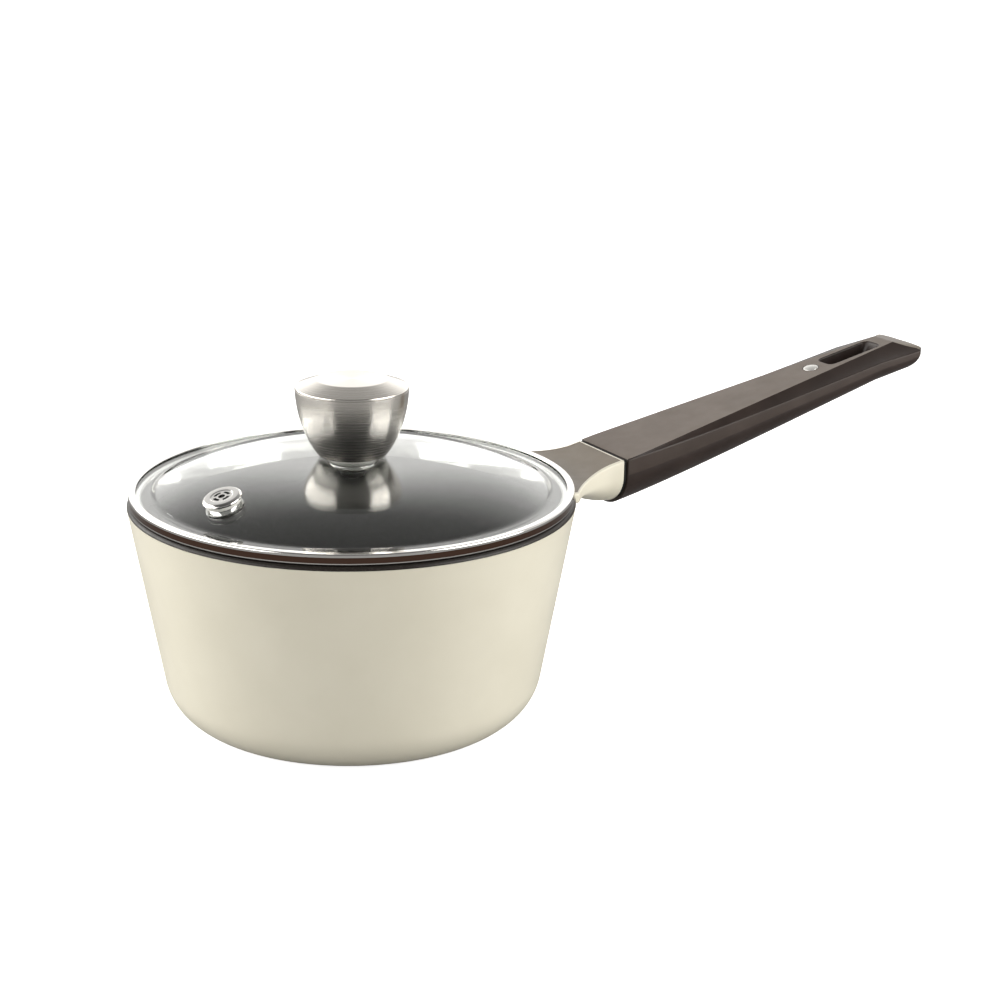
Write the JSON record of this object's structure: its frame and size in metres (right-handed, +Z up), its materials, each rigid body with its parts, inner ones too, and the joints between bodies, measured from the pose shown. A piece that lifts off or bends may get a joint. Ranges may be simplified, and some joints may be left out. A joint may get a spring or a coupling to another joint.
{
  "type": "saucepan with glass lid",
  "caption": "Small enamelled saucepan with a tapered moulded handle, a steel-rimmed glass lid that lifts off, a round steel knob and a steam vent.",
  "frame": {"origin": "centre of the round base, on the surface the pan stands on", "axes": "+Z up through the middle of the pan and lid; +X along the handle"},
  "size_m": [0.3441, 0.167, 0.1302],
  "materials": {
    "pan_enamel": "satin cream enamel outside over cast aluminium, with a dark non-stick coating inside and on the lip",
    "disc_steel": "brushed stainless plate",
    "gasket_rubber": "matt black",
    "grip_phenolic": "dark brown moulded phenolic, softly matt",
    "badge_steel": "small plain polished dome",
    "polished_steel": "polished stainless",
    "knob_steel": "finely turned stainless",
    "screw_steel": "plain machined steel",
    "seal_silicone": "translucent white silicone",
    "clear_glass": "clear toughened glass"
  },
  "bodies": {
    "pan": {"pan_body": "pan_enamel", "induction_disc": "disc_steel", "handle_gasket": "gasket_rubber", "handle_grip": "grip_phenolic", "handle_badge": "badge_steel", "handle_spring_washer": "screw_steel", "handle_screw": "screw_steel"},
    "lid": {"lid_glass": "clear_glass", "lid_rim_band": "polished_steel", "vent_cap": "polished_steel", "vent_seal": "seal_silicone", "vent_back_ring": "polished_steel", "knob_shell": "knob_steel", "knob_cap": "knob_steel", "knob_insert": "screw_steel", "knob_upper_seal": "seal_silicone", "knob_lower_seal": "seal_silicone", "knob_cup_washer": "polished_steel", "knob_spring_washer": "screw_steel", "knob_screw": "screw_steel"}
  },
  "joints": [
    {"name": "lid_lift", "type": "slide", "parent": "pan", "child": "lid", "axis": [0, 0, 1], "range_m": [0, 0.12]}
  ]
}
